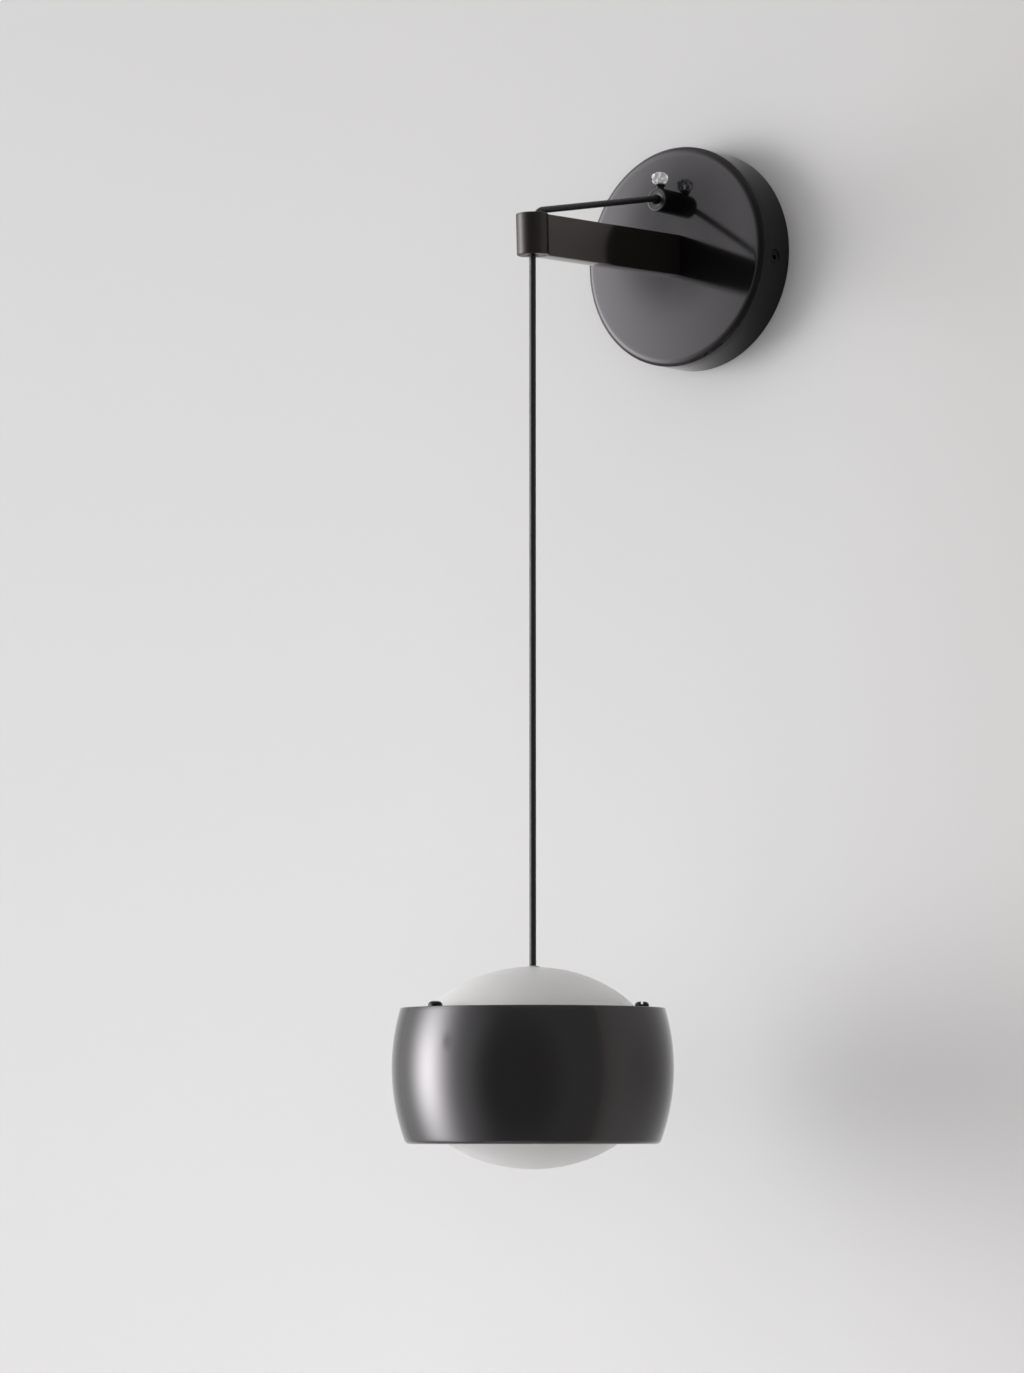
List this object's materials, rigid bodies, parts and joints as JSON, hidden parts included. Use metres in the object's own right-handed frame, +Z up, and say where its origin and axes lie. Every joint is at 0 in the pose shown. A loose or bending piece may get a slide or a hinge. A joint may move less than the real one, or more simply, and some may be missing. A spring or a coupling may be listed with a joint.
{
  "type": "hanging pendant wall sconce",
  "caption": "Wall light with a round canopy and a short arm, from which a cord hangs a flattened opal glass globe in a barrel-shaped metal band.",
  "frame": {"origin": "centre of the wall bracket's two slots, on the wall plane", "axes": "+X to the right seen from the room, +Y into the wall, +Z up"},
  "size_m": [0.1458, 0.2179, 0.5526],
  "materials": {
    "canopy_nickel": "steel, black nickel plate, fine satin polish",
    "arm_nickel": "brass, black nickel plate, polished",
    "band_nickel": "spun brass, black nickel plate, bright polish",
    "zinc_steel": "zinc plated steel, as pressed",
    "black_screw": "steel screw, black oxide, satin",
    "brass": "turned brass",
    "black_nylon": "moulded black nylon, satin",
    "clear_nylon": "clear moulded plastic",
    "white_nylon": "moulded white nylon",
    "driver_case": "moulded polycarbonate case",
    "cord_pvc": "black round flexible cord, PVC sheath",
    "wire_pvc": "single wires, PVC insulation",
    "opal_glass": "blown opal glass, satin outside",
    "gasket_rubber": "moulded silicone rubber",
    "carrier_aluminium": "turned aluminium, natural",
    "lamp_board": "aluminium core board, white solder mask",
    "lamp_chip": "lamp chips under phosphor"
  },
  "bodies": {
    "wall_part": {"wall_bracket": "zinc_steel", "bracket_tabs": "zinc_steel", "side_screws": "black_screw", "canopy_cover": "canopy_nickel", "arm_bar": "arm_nickel", "arm_nose": "arm_nickel", "arm_plate": "zinc_steel", "arm_screws": "zinc_steel", "grip_body": "black_nylon", "grip_nut": "black_nylon", "terminal_block": "white_nylon", "block_screw": "zinc_steel", "led_driver": "driver_case", "driver_screws": "zinc_steel", "earth_terminal": "brass", "cord_upper": "cord_pvc", "cord_inner": "cord_pvc", "supply_wires": "wire_pvc"},
    "clamp_screw": {"grip_clamp_screw": "clear_nylon"},
    "cord_bend": {"cord_neck": "cord_pvc"},
    "cord_hang": {"cord_drop": "cord_pvc"},
    "cord_end": {"cord_tail": "cord_pvc"},
    "pendant": {"shade_band": "band_nickel", "rim_lugs": "zinc_steel", "top_ring": "band_nickel", "rim_screws": "black_screw", "upper_glass": "opal_glass", "lower_glass": "opal_glass", "foot_gasket": "gasket_rubber", "ring_gasket": "gasket_rubber", "joint_gaskets": "gasket_rubber", "glass_grommet": "clear_nylon", "carrier_disc": "carrier_aluminium", "top_board": "lamp_board", "top_lamp_chips": "lamp_chip", "bottom_board": "lamp_board", "bottom_lamp_chips": "lamp_chip", "cord_gland": "black_nylon", "gland_nut": "black_nylon", "pendant_lead": "cord_pvc"}
  },
  "joints": [
    {"name": "clamp_turn", "type": "hinge", "parent": "wall_part", "child": "clamp_screw", "pos_m": [0, -0.0359, 0.0355], "axis": [0, 0, 1], "range_deg": [0, 360]},
    {"name": "swing_out", "type": "hinge", "parent": "wall_part", "child": "cord_bend", "pos_m": [0, -0.145, -0.018], "axis": [1, 0, 0], "range_deg": [-25, 8]},
    {"name": "swing_side", "type": "hinge", "parent": "cord_bend", "child": "cord_hang", "pos_m": [0, -0.145, -0.042], "axis": [0, 1, 0], "range_deg": [-25, 25]},
    {"name": "pendant_height", "type": "slide", "parent": "cord_hang", "child": "cord_end", "axis": [0, 0, 1], "range_m": [0, 0.15], "deforming": ["cord_drop"]},
    {"name": "pendant_twist", "type": "hinge", "parent": "cord_end", "child": "pendant", "pos_m": [0, -0.145, -0.388], "axis": [0, 0, 1], "range_deg": [-180, 180]}
  ]
}
